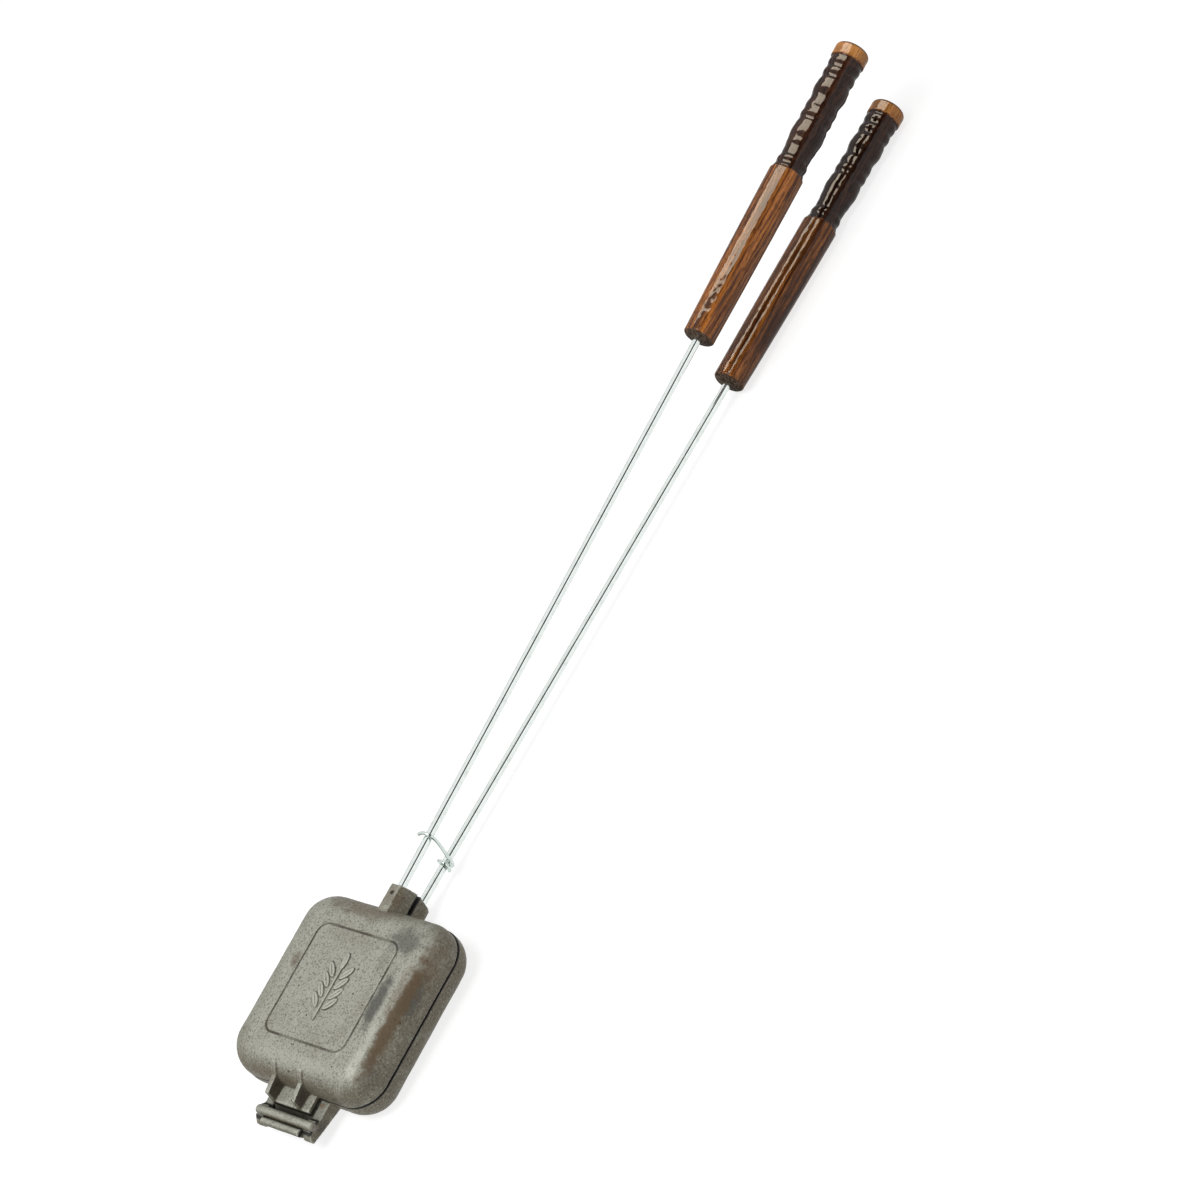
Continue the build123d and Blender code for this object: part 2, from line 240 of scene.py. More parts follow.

# %% [markdown]
# ### Rubbed edges and darker creases
# Handling polishes what stands out, and on the iron the lighter edges are also a
# painted highlight. Creases can be made darker. Cycles knows both from the mesh:
# Pointiness is high on a ridge and low in a crease.


# %% Rubbed edge and painted highlight group
def build_edge_wear_and_highlight():
    tree, given, out = new_group(
        "rubbed_and_highlit_edges",
        [("Place", VECTOR, None), ("Ridge", NUMBER, 0.04), ("Breakup", NUMBER, 900.0)],
        [("Edges", NUMBER), ("Creases", NUMBER)],
    )
    sharp = add_node(tree, "ShaderNodeNewGeometry").outputs["Pointiness"]
    patchy = noise(tree, given["Place"], given["Breakup"], 3.0, 0.6)
    wobble = maths(tree, "MULTIPLY", maths(tree, "SUBTRACT", patchy, 0.5), 0.05)
    uneven = maths(tree, "ADD", sharp, wobble)
    top = maths(tree, "ADD", 0.5, given["Ridge"])
    low = maths(tree, "SUBTRACT", 0.5, given["Ridge"])
    tree.links.new(remap(tree, uneven, 0.51, top), out["Edges"])
    tree.links.new(remap(tree, uneven, 0.49, low), out["Creases"])
    return tree


EDGE_WEAR_AND_HIGHLIGHT = build_edge_wear_and_highlight()
print("built", EDGE_WEAR_AND_HIGHLIGHT.name)

# %% [markdown]
# ### Long lines
# Drawn wire and split wood share one look: marks that run far along the piece and are
# fine across it. The group stretches a noise along X, where rods and handles both run.


# %% Long line group
def build_long_lines():
    tree, given, out = new_group(
        "long_lines",
        [("Place", VECTOR, None), ("Length", NUMBER, 0.05), ("Width", NUMBER, 0.0006)],
        [("Lines", NUMBER), ("Bands", NUMBER)],
    )
    parts = add_node(tree, "ShaderNodeSeparateXYZ", {0: given["Place"]}).outputs
    along = maths(tree, "DIVIDE", parts["X"], given["Length"])
    across_y = maths(tree, "DIVIDE", parts["Y"], given["Width"])
    across_z = maths(tree, "DIVIDE", parts["Z"], given["Width"])
    drawn = add_node(tree, "ShaderNodeCombineXYZ", {0: along, 1: across_y, 2: across_z}).outputs[0]
    tree.links.new(noise(tree, drawn, 1.0, 4.0, 0.6), out["Lines"])
    tree.links.new(noise(tree, drawn, 0.22, 3.0, 0.55, 0.6), out["Bands"])
    return tree


LONG_LINES = build_long_lines()
print("built", LONG_LINES.name)

# %% [markdown]
# ## The finishes
# Each finish is one material: a Principled shader with its colour, roughness and
# bumps driven by the groups above.


# %% Material helper
def new_material(name, **sockets):
    """A material with its Principled shader; sockets set values that stay the same."""
    material = bpy.data.materials.new(name)
    material.use_nodes = True
    shader = material.node_tree.nodes["Principled BSDF"]
    for label, value in sockets.items():
        shader.inputs[label.replace("_", " ")].default_value = value
    return material, material.node_tree, shader


def set_bump(tree, shader, height, strength, distance):
    """Turns a height into a slope of the surface; distance is in metres."""
    inputs = {"Height": height, "Strength": strength, "Distance": distance}
    bump = add_node(tree, "ShaderNodeBump", inputs)
    tree.links.new(bump.outputs[0], shader.inputs["Normal"])


# %% [markdown]
# ### Bare cast iron
# Iron that has never been seasoned is a warm grey with a soft sheen. Storing and
# handling stain it: brown where it began to rust, dark grey where it ran hot. Faces that
# look sideways are painted darker than the tops, as painted shade. Some marks need to
# know the shape. Dirt in the line round the panel and the light on the raised ear are
# values that the mesh carries. Soot along the rims, together with painted shade of the
# gap between the shells, is found from the height of a point, painted shade in the
# hinge's gaps from its place, and painted shade on the ribs' sides that face away from
# the light from the way a face looks. Stains, painted highlights on the shoulder and the
# front edge, and painted shade on the front and rear slopes are placed in millimetres
# from the middle of the head's base. The grain of the skin is laid down first and each
# stain over it, as rust and smoke came after the casting, and a little of the grain is
# put back on top so that a stain doesn't look painted on.


# %% Stains
def spot(tree, place, centre, size, raggedness=0.35):
    """A soft ragged patch round a point, 1 in its middle; places are in millimetres."""
    moved = add_node(
        tree,
        "ShaderNodeVectorMath",
        {0: place, 1: tuple(c * MM for c in centre)},
        operation="SUBTRACT",
    ).outputs[0]
    scaled = add_node(
        tree,
        "ShaderNodeVectorMath",
        {0: moved, 1: tuple(1 / (s * MM) for s in size)},
        operation="MULTIPLY",
    ).outputs[0]
    far = add_node(tree, "ShaderNodeVectorMath", {0: scaled}, operation="LENGTH").outputs["Value"]
    ragged = maths(tree, "SUBTRACT", noise(tree, place, 160.0, 4.0, 0.6), 0.5)
    far = maths(tree, "ADD", far, maths(tree, "MULTIPLY", ragged, raggedness * 4))
    return remap(tree, far, 0.35, 1.1, 1.0, 0.0)


GREY_STAINS = [
    ((10, -49.6, 32.5), (17, 5.5, 7), 0.85),
    ((-1, -35, 38.8), (21, 5.5, 5), 0.88),
    ((36, -32, 38.8), (10, 14, 6), 0.72),
    ((22, -24, 38.8), (9, 5, 5), 0.28),
    ((-20, -46.5, 36), (30, 3, 3), 0.30),
    ((-38, -49, 32), (12, 5, 7), 0.40),
    ((-30, 20, 0), (16, 12, 8), 0.50),
]
BROWN_STAINS_AND_SLOPE_SHADE = [
    ((-4, -47.6, 34.8), (58, 5.2, 5.4), 0.92),
    ((8, -42.5, 37.8), (24, 2.4, 3), 0.35),
    ((30, -50, 30), (24, 4, 8), 0.40),
    ((9, 33, 38.8), (6, 3.2, 4), 0.55),
    # Painted shade on the rear slope.
    ((47, 8, 35), (8, 30, 9), 0.58),
    ((-42, 42, 34), (14, 12, 8), 0.26),
    ((31, 4, 38.8), (9, 26, 4), 0.20),
    # Painted shade on the front slope.
    ((-55, 18, 30), (5, 24, 10), 0.38),
    ((60, 0, 32), (10, 9, 8), 0.55),
    ((25, -15, 0), (18, 14, 8), 0.50),
]
# Painted highlights: light patches where the shoulder and the front edge catch the light.
PAINTED_HIGHLIGHTS = [
    ((-36, -41.6, 38.2), (14, 3.2, 4), 0.50),
    ((-16, -41.2, 38.2), (9, 2.4, 4), 0.40),
    ((-44, 0, 37), (5, 40, 4), 0.25),
]
RUST_SPOTS = [((-57.2, -17.4, 18.2), (1.9, 2.2, 2.2)), ((-59.5, -15.6, 17), (1.8, 1.0, 2))]
RIB_SHADE = ((-59, 0, 27), (11, 21, 11))
# Painted shade in the hinge: below the bar and in the gaps between the tongue and the arms.
HINGE_GAP_SHADE = [
    ((-67.5, 0, 14.5), (7.5, 30, 6)),
    ((-61, 14.8, 12), (10, 1.6, 8)),
    ((-61, -14.8, 12), (10, 1.6, 8)),
]

# %% Cast iron
IRON_TOP = rgb(168, 168, 155)
IRON_SIDE_SHADE = rgb(120, 114, 97)
IRON_SPECK = rgb(86, 82, 71)
# Pale iron: random light patches and worn edges, and the colour of painted highlights.
IRON_PALE_AND_HIGHLIGHT = rgb(196, 196, 184)
IRON_BROWN = rgb(100, 82, 58)
IRON_GREY = rgb(80, 80, 74)
# Dark brown for the pits, the line and the creases, and for painted shade on the ribs' sides.
IRON_DIRT_AND_SHADE = rgb(50, 41, 30)
IRON_RUST = rgb(126, 92, 44)
# Near-black: soot, and painted shade in gaps.
SOOT_AND_GAP_SHADE = rgb(20, 17, 14)
PANEL_LINE = "panel_line"
PANEL_RAISED = "panel_raised"
PARTING = 19.4 * MM
SLOT_FROM = 55.5 * MM


def make_cast_iron(name, worn_highlit_edges, stained_and_shaded):
    material, tree, shader = new_material(name, Metallic=0.25, IOR=1.5)
    place = object_place(tree)
    sizes = {"Place": place, "Grain Size": 0.0011, "Pit Spacing": 0.0045}
    skin = place_group(tree, SAND_SKIN, sizes)
    edge_masks = place_group(tree, EDGE_WEAR_AND_HIGHLIGHT, {"Place": place, "Ridge": 0.045})
    facing = add_node(tree, "ShaderNodeTexCoord").outputs["Normal"]
    looks = add_node(tree, "ShaderNodeSeparateXYZ", {0: facing}).outputs
    # Faces that look sideways take a darker colour than the tops: painted shade.
    flat = remap(tree, maths(tree, "ABSOLUTE", looks["Z"]), 0.45, 0.98)
    colour = mix_colours(tree, flat, IRON_SIDE_SHADE, IRON_TOP)
    cloud = noise(tree, stretched(tree, place, (22.0, 48.0, 48.0)), 1.0, 5.0, 0.62, 0.4)
    colour = mix_colours(tree, remap(tree, cloud, 0.48, 0.76, 0.0, 0.32), colour, IRON_BROWN)
    light_cloud = noise(tree, stretched(tree, place, (90.0, 130.0, 130.0)), 1.0, 4.0, 0.6, 0.2)
    colour = mix_colours(tree, remap(tree, light_cloud, 0.50, 0.72, 0.0, 0.28), colour, IRON_PALE_AND_HIGHLIGHT)
    grain = remap(tree, skin["Grain"], 0.30, 0.52, 0.62, 0.0)
    colour = mix_colours(tree, grain, colour, IRON_SPECK)
    sparkle = remap(tree, skin["Grain"], 0.53, 0.74, 0.0, 0.5)
    colour = mix_colours(tree, sparkle, colour, IRON_PALE_AND_HIGHLIGHT)
    # Edges are lighter: wear, and a painted highlight.
    colour = mix_colours(tree, maths(tree, "MULTIPLY", edge_masks["Edges"], worn_highlit_edges), colour, IRON_PALE_AND_HIGHLIGHT)
    if stained_and_shaded:
        # Stains, then painted highlights, placed in millimetres on the head.
        marks = [(GREY_STAINS, IRON_GREY), (BROWN_STAINS_AND_SLOPE_SHADE, IRON_BROWN), (PAINTED_HIGHLIGHTS, IRON_PALE_AND_HIGHLIGHT)]
        for patches, tint in marks:
            for centre, size, share in patches:
                patch = maths(tree, "MULTIPLY", spot(tree, place, centre, size), share)
                colour = mix_colours(tree, patch, colour, tint)
        for centre, size in RUST_SPOTS:
            patch = maths(tree, "MULTIPLY", spot(tree, place, centre, size, 0.5), 0.62)
            colour = mix_colours(tree, patch, colour, IRON_RUST)
        over = maths(tree, "MULTIPLY", grain, 0.4)
        colour = mix_colours(tree, over, colour, IRON_DIRT_AND_SHADE)
    # Darker in creases and in the sand's pits.
    dark_hollows = maths(tree, "MAXIMUM", maths(tree, "MULTIPLY", edge_masks["Creases"], 0.75), skin["Pits"])
    if stained_and_shaded:
        line = add_node(tree, "ShaderNodeAttribute", attribute_name=PANEL_LINE).outputs["Fac"]
        patchy = remap(tree, noise(tree, place, 70.0, 4.0, 0.6), 0.36, 0.60, 0.35, 0.95)
        dark_hollows = maths(tree, "MAXIMUM", dark_hollows, maths(tree, "MULTIPLY", line, patchy))
        raised = add_node(tree, "ShaderNodeAttribute", attribute_name=PANEL_RAISED).outputs["Fac"]
        colour = mix_colours(tree, maths(tree, "MULTIPLY", raised, 0.5), colour, IRON_PALE_AND_HIGHLIGHT)
    colour = mix_colours(tree, maths(tree, "MULTIPLY", dark_hollows, 0.85), colour, IRON_DIRT_AND_SHADE)
    if stained_and_shaded:
        # Near the parting line the rims are darkened: soot, and painted shade of the gap between
        # the shells.
        where = add_node(tree, "ShaderNodeSeparateXYZ", {0: place}).outputs
        in_slot = remap(tree, where["X"], SLOT_FROM - 0.5 * MM, SLOT_FROM + 0.5 * MM, 0.0, 1.1 * MM)
        from_rim = maths(tree, "ABSOLUTE", maths(tree, "SUBTRACT", where["Z"], PARTING))
        from_rim = maths(tree, "SUBTRACT", from_rim, in_slot)
        rim_soot_and_shade = remap(tree, from_rim, 0.6 * MM, 1.3 * MM, 0.95, 0.0)
        colour = mix_colours(tree, rim_soot_and_shade, colour, SOOT_AND_GAP_SHADE)
        # Painted shade darkens the hinge's gaps.
        for centre, size in HINGE_GAP_SHADE:
            patch = maths(tree, "MULTIPLY", spot(tree, place, centre, size, 0.1), 0.93)
            colour = mix_colours(tree, patch, colour, SOOT_AND_GAP_SHADE)
        # The ribs' sides that face away from the light are painted darker: painted shade.
        turned_away = remap(tree, looks["Y"], -0.35, -0.8)
        rib_side_shade = maths(tree, "MULTIPLY", turned_away, spot(tree, place, *RIB_SHADE, 0.05))
        colour = mix_colours(tree, maths(tree, "MULTIPLY", rib_side_shade, 0.8), colour, IRON_DIRT_AND_SHADE)
    tree.links.new(colour, shader.inputs["Base Color"])
    tree.links.new(remap(tree, skin["Grain"], 0.25, 0.75, 0.64, 0.46), shader.inputs["Roughness"])
    set_bump(tree, shader, skin["Height"], 0.45, 0.00045)
    return material


CAST_IRON = make_cast_iron("cast_iron", 0.75, True)
BAR_IRON = make_cast_iron("worn_highlit_bar_iron", 0.3, False)
print("made", CAST_IRON.name, BAR_IRON.name)

# %% [markdown]
# ### Bright zinc plating
# The rods and the latch are drawn steel with a thin bright plate. It mirrors the room,
# with faint lines from the drawing die and a cold, slightly green tint.


# %% Plated steel
def make_plating(name, tint, roughness):
    material, tree, shader = new_material(name, Metallic=1.0)
    place = object_place(tree)
    lines = place_group(tree, LONG_LINES, {"Place": place, "Length": 0.03, "Width": 0.00035})
    clouds = noise(tree, place, 260.0, 3.0, 0.6)
    dull = mix_colours(tree, remap(tree, clouds, 0.45, 0.8, 0.0, 0.35), tint, rgb(168, 178, 172))
    tree.links.new(dull, shader.inputs["Base Color"])
    rough = maths(tree, "ADD", roughness, maths(tree, "MULTIPLY", lines["Lines"], 0.12))
    tree.links.new(rough, shader.inputs["Roughness"])
    set_bump(tree, shader, lines["Lines"], 0.12, 0.00008)
    return material


PLATED_ROD = make_plating("plated_rod", rgb(226, 232, 229), 0.08)
LATCH_WIRE = make_plating("latch_wire", rgb(206, 216, 211), 0.14)
PIN_STEEL = make_plating("pin_steel", rgb(74, 70, 64), 0.42)
print("made", PLATED_ROD.name, LATCH_WIRE.name, PIN_STEEL.name)

# %% [markdown]
# ### Lacquered wood
# The handles are a stained, open-grained hardwood: orange brown with long dark pores
# and darker bands. The turned grip is burnt almost black before it is lacquered, the
# butt cap is left golden, and the sawn end at the rod is dull end grain. The mesh
# carries how far along the handle each point is, and that places the zones.


# %% Handle wood
WOOD_STAIN = rgb(186, 114, 52)
WOOD_DEEP = rgb(92, 50, 26)
WOOD_DARK = rgb(48, 27, 17)
WOOD_BURNT = rgb(70, 42, 28)
WOOD_CHAR = rgb(28, 15, 10)
WOOD_EMBER = rgb(118, 58, 30)
WOOD_GOLD = rgb(208, 144, 78)
WOOD_END = rgb(104, 90, 76)
ALONG_HANDLE = "along_handle"
GRIP_START = 0.1150
GRIP_END = 0.1954
HANDLE_END = 0.2042


def make_handle_wood():
    material, tree, shader = new_material(
        "handle_wood", Coat_Roughness=0.04, Coat_IOR=1.45, IOR=1.45, Specular_IOR_Level=0.0
    )
    place = object_place(tree)
    along = add_node(tree, "ShaderNodeAttribute", attribute_name=ALONG_HANDLE).outputs["Fac"]
    broad = place_group(tree, LONG_LINES, {"Place": place, "Length": 0.045, "Width": 0.0016})
    fine = place_group(tree, LONG_LINES, {"Place": place, "Length": 0.0055, "Width": 0.00042})
    edge_masks = place_group(tree, EDGE_WEAR_AND_HIGHLIGHT, {"Place": place, "Ridge": 0.03})
    colour = mix_colours(tree, remap(tree, broad["Lines"], 0.36, 0.62), WOOD_STAIN, WOOD_DEEP)
    bands = remap(tree, broad["Bands"], 0.50, 0.68, 0.0, 0.8)
    colour = mix_colours(tree, bands, colour, WOOD_DARK)
    pores = remap(tree, fine["Lines"], 0.50, 0.64, 0.0, 1.0)
    colour = mix_colours(tree, maths(tree, "MULTIPLY", pores, 0.8), colour, WOOD_DARK)
    burnt = mix_colours(tree, remap(tree, broad["Lines"], 0.35, 0.65), WOOD_BURNT, WOOD_CHAR)
    ember = maths(tree, "MULTIPLY", edge_masks["Edges"], remap(tree, fine["Lines"], 0.35, 0.6, 0.9, 0.2))
    burnt = mix_colours(tree, ember, burnt, WOOD_EMBER)
    uneven = maths(tree, "MULTIPLY", maths(tree, "SUBTRACT", broad["Lines"], 0.5), 0.004)
    edge = maths(tree, "ADD", along, uneven)
    in_grip = maths(
        tree,
        "MULTIPLY",
        remap(tree, edge, GRIP_START - 0.0012, GRIP_START + 0.0006),
        remap(tree, edge, GRIP_END + 0.0008, GRIP_END - 0.0008),
    )
    streaks = remap(tree, broad["Lines"], 0.40, 0.66, 0.0, 0.85)
    gold = mix_colours(tree, streaks, WOOD_GOLD, WOOD_STAIN)
    gold = mix_colours(tree, maths(tree, "MULTIPLY", pores, 0.55), gold, WOOD_DEEP)
    # A dark ring painted near the cap's end: a painted dark reflection of its rounded edge.
    painted_dark_rim = remap(tree, along, HANDLE_END - 0.0022, HANDLE_END - 0.0008, 0.0, 0.85)
    gold = mix_colours(tree, painted_dark_rim, gold, WOOD_DARK)
    on_cap = remap(tree, edge, GRIP_END - 0.0005, GRIP_END + 0.0005)
    colour = mix_colours(tree, on_cap, colour, gold)
    colour = mix_colours(tree, in_grip, colour, burnt)
    sawn = remap(tree, along, 0.0001, 0.0007, 1.0, 0.0)
    rings = remap(tree, noise(tree, place, 900.0, 3.0), 0.35, 0.65)
    end_grain = mix_colours(tree, rings, WOOD_END, WOOD_DARK)
    colour = mix_colours(tree, sawn, colour, end_grain)
    tree.links.new(colour, shader.inputs["Base Color"])
    tree.links.new(remap(tree, pores, 0.0, 1.0, 0.40, 0.6), shader.inputs["Roughness"])
    tree.links.new(remap(tree, sawn, 0.0, 1.0, 0.48, 0.08), shader.inputs["Coat Weight"])
    sunk = maths(tree, "MULTIPLY", pores, -0.35)
    wavy = maths(tree, "ADD", sunk, maths(tree, "MULTIPLY", broad["Lines"], 0.9))
    set_bump(tree, shader, wavy, 0.5, 0.0003)
    return material


HANDLE_WOOD = make_handle_wood()
print("made", HANDLE_WOOD.name)

# %% [markdown]
# ## The castings
# A casting has no sharp corners: sand can't hold them, and iron shrinks into fillets.
# The frame's shells have crisp edges, so each is copied, filled again with small
# voxels, and smoothed a little. Every rib then grows out of the shell as it should.


# %% Helpers for pieces
VOXEL = 0.45 * MM
SMOOTHING_ROUNDS = 2
MOST_TRIANGLES = 185000


def body_of(node):
    """The body that a frame node moves with."""
    return frame["nodes"][node]["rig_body"]


def stand_in(piece, node):
    """Lets a new piece take a frame node's place and body, and hides the node."""
    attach(piece, body_of(node))
    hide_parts(node)
    return piece


def finish_mesh(piece, material):
    """Smooth shading and one material."""
    piece.data.materials.clear()
    piece.data.materials.append(material)
    for face in piece.data.polygons:
        face.use_smooth = True


def apply_modifiers(piece):
    """Bakes the modifiers into the mesh, so that the piece is plain geometry."""
    seen = piece.evaluated_get(bpy.context.evaluated_depsgraph_get())
    piece.data = bpy.data.meshes.new_from_object(seen)
    piece.modifiers.clear()


def vertex_places(mesh):
    """All the vertices' places as one array, in millimetres."""
    flat = np.empty(len(mesh.vertices) * 3)
    mesh.vertices.foreach_get("co", flat)
    return flat.reshape(-1, 3) / MM


# %% Soften a casting
def soften_casting(node, name):
    """A copy of a casting with rounded edges and filled corners."""
    piece = bpy.data.objects.new(name, frame["nodes"][node].data.copy())
    bpy.context.scene.collection.objects.link(piece)
    skin = piece.modifiers.new("sand_mould", "REMESH")
    skin.mode = "VOXEL"
    skin.voxel_size = VOXEL
    soft = piece.modifiers.new("shrink", "SMOOTH")
    soft.factor = 0.5
    soft.iterations = SMOOTHING_ROUNDS
    apply_modifiers(piece)
    print(name, "has", len(piece.data.polygons), "faces")
    return piece


upper_casting = soften_casting("upper_shell", "upper_casting")
lower_casting = soften_casting("lower_shell", "lower_casting")

# %% [markdown]
# ### The panels
# Voxels blur what is only a millimetre wide. So the shallow line round each panel and
# the raised wheat ear are pressed again into the softened casting. The faces near them
# are divided once more, and each vertex there is set to a height worked out from how
# far it is from the line's middle, or inside a grain's outline.

# %% Heights on a panel
FACE_HEIGHT = 38.8
LINE_SIZE = (67.1, 59.7)
LINE_CORNER = 6.55
LINE_HALF_WIDTH = 0.85
LINE_DEPTH = 0.6
PANEL_REACH = (37.0, 33.0)
FACE_BAND = 1.2
DIVIDED_BY_LINE = 1.6
DIVIDED_BY_EAR = (-22, 27, 14)
EAR_HEIGHT = 0.8
EAR_EDGE = 0.24
EAR_DIRT = 0.45
GRAIN_HALF = (5.0, 1.9)
STEM_FROM, STEM_TO, STEM_HALF_WIDTH = -20.4, 15.4, 0.75
GRAINS = [(-9.4 + 6.2 * pair, 5.6 * hand, 38.0 * hand) for pair in range(4) for hand in (1, -1)]
GRAINS.append((15.4, 0.0, 0.0))


def soft_step(value, low, high):
    """0 below low, 1 above high, and a smooth S between."""
    share = np.clip((value - low) / (high - low), 0.0, 1.0)
    return share * share * (3 - 2 * share)


def line_distance(x, y):
    """How far a place is from the middle of the panel's line."""
    over_x = np.abs(x) - (LINE_SIZE[0] / 2 - LINE_CORNER)
    over_y = np.abs(y) - (LINE_SIZE[1] / 2 - LINE_CORNER)
    outside = np.hypot(np.maximum(over_x, 0), np.maximum(over_y, 0))
    inside = np.minimum(np.maximum(over_x, over_y), 0)
    return np.abs(outside + inside - LINE_CORNER)


def grain_relief(x, y, centre_x, centre_y, angle, spread):
    """A grain's height: a low dome with a crease along its middle."""
    cos, sin = math.cos(math.radians(angle)), math.sin(math.radians(angle))
    u = (x - centre_x) * cos + (y - centre_y) * sin
    v = (y - centre_y) * cos - (x - centre_x) * sin
    a, b = GRAIN_HALF
    reach = np.hypot(u / a, v / b) + 1e-6
    slope = np.hypot(u / a**2, v / b**2) / reach + 1e-6
    depth = (1 - reach) / slope + spread
    dome = EAR_HEIGHT * (0.78 + 0.22 * np.clip(1 - reach**2, 0, 1))
    crease = 0.35 * (1 - soft_step(np.abs(v), 0.0, 0.4)) * soft_step(a - np.abs(u), 0.6, 2.2)
    return (dome - crease) * soft_step(depth, -EAR_EDGE, EAR_EDGE)


def ear_relief(x, y, spread=0.0):
    """The wheat ear: a stem and nine grains; spread makes each of them wider."""
    nearest = np.clip(x, STEM_FROM + STEM_HALF_WIDTH, STEM_TO)
    from_stem = STEM_HALF_WIDTH + spread - np.hypot(x - nearest, y)
    height = EAR_HEIGHT * 0.85 * soft_step(from_stem, -EAR_EDGE, EAR_EDGE)
    for centre_x, centre_y, angle in GRAINS:
        height = np.maximum(height, grain_relief(x, y, centre_x, centre_y, angle, spread))
    return height


def on_panel(x, y, z, face_z, band):
    """True where a place is on the flat face round the panel, in a band of heights."""
    within = (np.abs(x) < PANEL_REACH[0]) & (np.abs(y) < PANEL_REACH[1])
    return (np.abs(z - face_z) < band) & within


def panel_dirt(x, y, with_ear):
    """Where grime stays: 1 in the line and at the foot of the ear, 0 elsewhere."""
    dark_hollows = 1 - soft_step(line_distance(x, y), 0.25, 1.0)
    if with_ear:
        near_ear = soft_step(ear_relief(x, y, EAR_DIRT), 0.1, 0.5)
        foot = near_ear * (1 - soft_step(ear_relief(x, y), 0.35, 0.6))
        dark_hollows = np.maximum(dark_hollows, foot)
    return dark_hollows


print("ear is", STEM_TO - STEM_FROM + GRAIN_HALF[0], "mm long")


# %% Press the panels
def press_panel(piece, face_z, up, with_ear):
    """Sets a panel's line and ear into a casting's flat face; up is 1 or -1."""
    shape = bmesh.new()
    shape.from_mesh(piece.data)
    near = []
    ear_from, ear_to, ear_side = DIVIDED_BY_EAR
    for face in shape.faces:
        place = face.calc_center_median() / MM
        off_face = abs(place.z - face_z) > FACE_BAND
        if off_face or abs(place.x) > PANEL_REACH[0] or abs(place.y) > PANEL_REACH[1]:
            continue
        on_line = line_distance(place.x, place.y) < DIVIDED_BY_LINE
        on_ear = with_ear and abs(place.y) < ear_side and ear_from < place.x < ear_to
        if on_line or on_ear:
            near.append(face)
    edges = {edge for face in near for edge in face.edges}
    bmesh.ops.subdivide_edges(shape, edges=list(edges), cuts=1, use_grid_fill=True)
    bmesh.ops.triangulate(shape, faces=[face for face in shape.faces if len(face.verts) > 4])
    shape.to_mesh(piece.data)
    shape.free()
    places = vertex_places(piece.data)
    x, y, z = places.T
    on_face = on_panel(x, y, z, face_z, FACE_BAND)
    relief = -LINE_DEPTH * (1 - soft_step(line_distance(x, y), 0.12, LINE_HALF_WIDTH))
    if with_ear:
        relief = relief + ear_relief(x, y)
    places[on_face, 2] = face_z + up * relief[on_face]
    piece.data.vertices.foreach_set("co", (places * MM).ravel())
    print(piece.name, "has", len(near), "faces divided for its panel")


press_panel(upper_casting, FACE_HEIGHT, 1, True)
press_panel(lower_casting, 0.0, -1, False)

# %% [markdown]
# ### Uneven sand
# Packed sand is never quite true. Two gentle waves, one as long as a thumb is wide and
# one of a few millimetres, push the skin in and out by up to two tenths of a
# millimetre. They come from a cloud texture, which gives the same waves each time. The
# mesh is then thinned, and two values are stored on it: where dirt stays in the line and
# round the ear, and where the ear is raised and rubbed light.


# %% Roughen, thin and finish
LONG_WAVES = (14.0, 0.35)
SHORT_WAVES = (2.2, 0.16)
DIRTY_BAND = 1.6


def add_waves(piece, size, depth):
    """Pushes the skin in and out along its normals."""
    clouds = bpy.data.textures.new("sand_waves", "CLOUDS")
    clouds.noise_scale = size * MM
    clouds.noise_depth = 2
    waves = piece.modifiers.new("sand_waves", "DISPLACE")
    waves.texture = clouds
    waves.texture_coords = "LOCAL"
    waves.mid_level = 0.5
    waves.strength = depth * MM


def finish_casting(piece, node, face_z, with_ear):
    add_waves(piece, *LONG_WAVES)
    add_waves(piece, *SHORT_WAVES)
    triangles = sum(len(face.vertices) - 2 for face in piece.data.polygons)
    thin = piece.modifiers.new("thin", "DECIMATE")
    thin.ratio = min(1.0, MOST_TRIANGLES / triangles)
    apply_modifiers(piece)
    x, y, z = vertex_places(piece.data).T
    on_face = on_panel(x, y, z, face_z, DIRTY_BAND)
    raised = soft_step(ear_relief(x, y), 0.45, 0.7) if with_ear else 0.0
    for label, value in ((PANEL_LINE, panel_dirt(x, y, with_ear)), (PANEL_RAISED, raised)):
        stored = piece.data.attributes.new(label, "FLOAT", "POINT")
        stored.data.foreach_set("value", np.where(on_face, value, 0.0))
    finish_mesh(piece, CAST_IRON)
    print(piece.name, "is thinned from", triangles, "to", len(piece.data.polygons), "triangles")
    return stand_in(piece, node)


finish_casting(upper_casting, "upper_shell", FACE_HEIGHT, True)
finish_casting(lower_casting, "lower_shell", 0.0, False)

# %% [markdown]
# ## Bars, rods and pins
# The hinge bar and the rods are round stock. A cut bar has a small broken edge at each
# end, and that edge is what tells the eye it is metal and not a drawn line. So they are
# spun again round their own lines, from a short profile. The pins and the latch keep
# the frame's meshes, and only take their finish.


# %% Spin a piece round a line
SEGMENTS = 96


